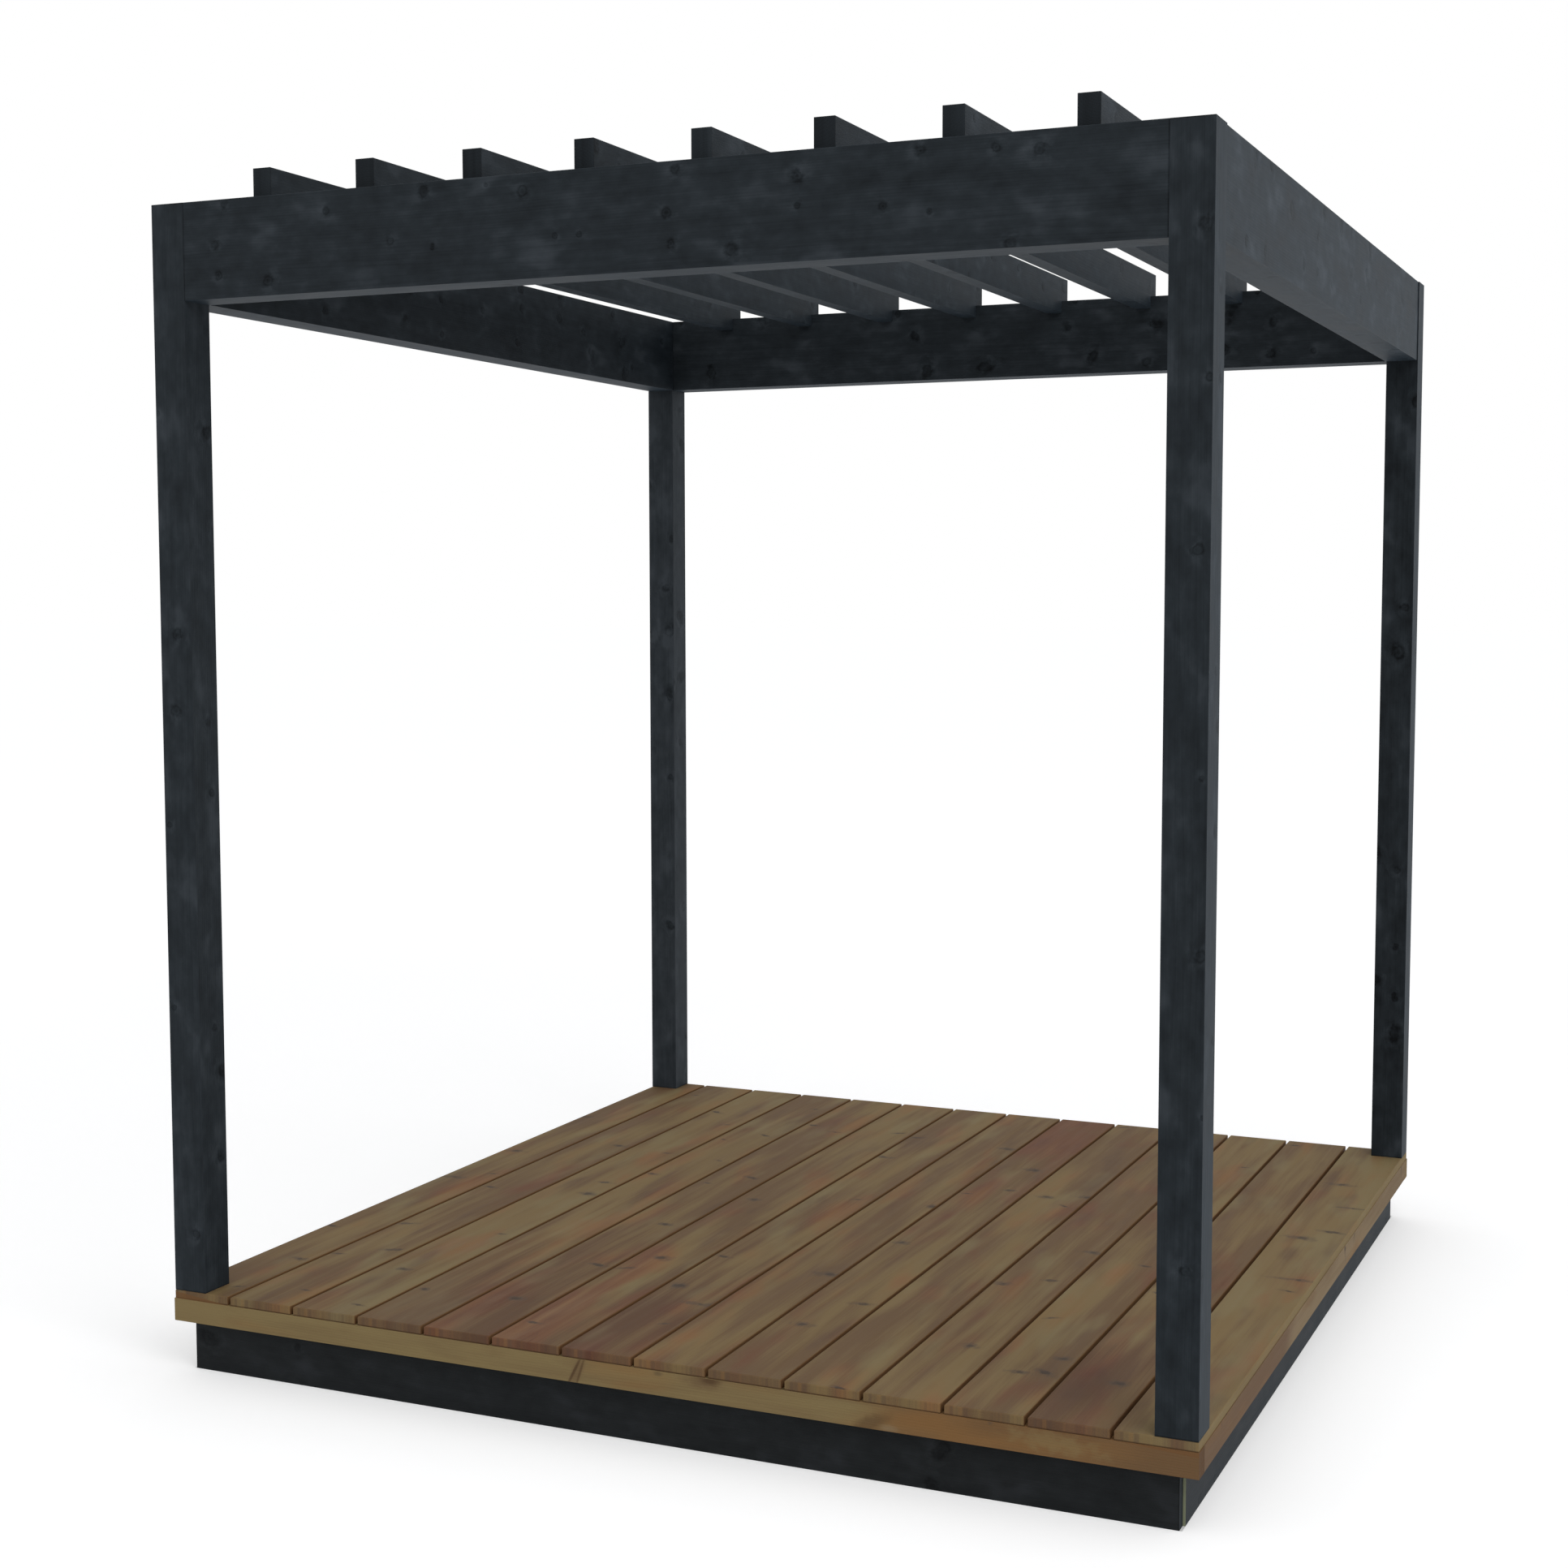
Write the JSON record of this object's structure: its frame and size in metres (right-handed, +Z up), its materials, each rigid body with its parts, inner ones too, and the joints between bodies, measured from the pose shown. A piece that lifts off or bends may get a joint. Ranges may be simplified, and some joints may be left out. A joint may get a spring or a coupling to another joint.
{
  "type": "wooden pergola",
  "caption": "Free-standing square wooden pergola: dark stained posts, deep beams and open notched rafters over a raised brown plank deck on a dark plinth.",
  "frame": {"origin": "middle of the plan on the ground, in the plane of the underside of the plinth boards", "axes": "+X to the right along the front, +Y from the front to the back along the rafters and deck boards, +Z up"},
  "size_m": [2.524, 2.584, 2.851],
  "materials": {
    "black_timber": "charcoal stained planed softwood, low sheen",
    "deck_timber": "brown pressure treated pine, matt"
  },
  "bodies": {
    "root": {"post_front_left": "black_timber", "post_front_right": "black_timber", "post_back_left": "black_timber", "post_back_right": "black_timber", "beam_front": "black_timber", "beam_back": "black_timber", "beam_left": "black_timber", "beam_right": "black_timber", "rafter_1": "black_timber", "rafter_2": "black_timber", "rafter_3": "black_timber", "rafter_4": "black_timber", "rafter_5": "black_timber", "rafter_6": "black_timber", "rafter_7": "black_timber", "rafter_8": "black_timber", "plinth_front": "black_timber", "plinth_back": "black_timber", "plinth_left": "black_timber", "plinth_right": "black_timber", "plinth_bearer": "black_timber", "deck_board_1": "deck_timber", "deck_board_2": "deck_timber", "deck_board_3": "deck_timber", "deck_board_4": "deck_timber", "deck_board_5": "deck_timber", "deck_board_6": "deck_timber", "deck_board_7": "deck_timber", "deck_board_8": "deck_timber", "deck_board_9": "deck_timber", "deck_board_10": "deck_timber", "deck_board_11": "deck_timber", "deck_board_12": "deck_timber", "deck_board_13": "deck_timber", "deck_board_14": "deck_timber", "batten_front": "deck_timber", "batten_back": "deck_timber", "batten_left": "deck_timber", "batten_right": "deck_timber", "joist_1": "deck_timber", "joist_2": "deck_timber", "joist_3": "deck_timber", "joist_4": "deck_timber"}
  },
  "joints": []
}
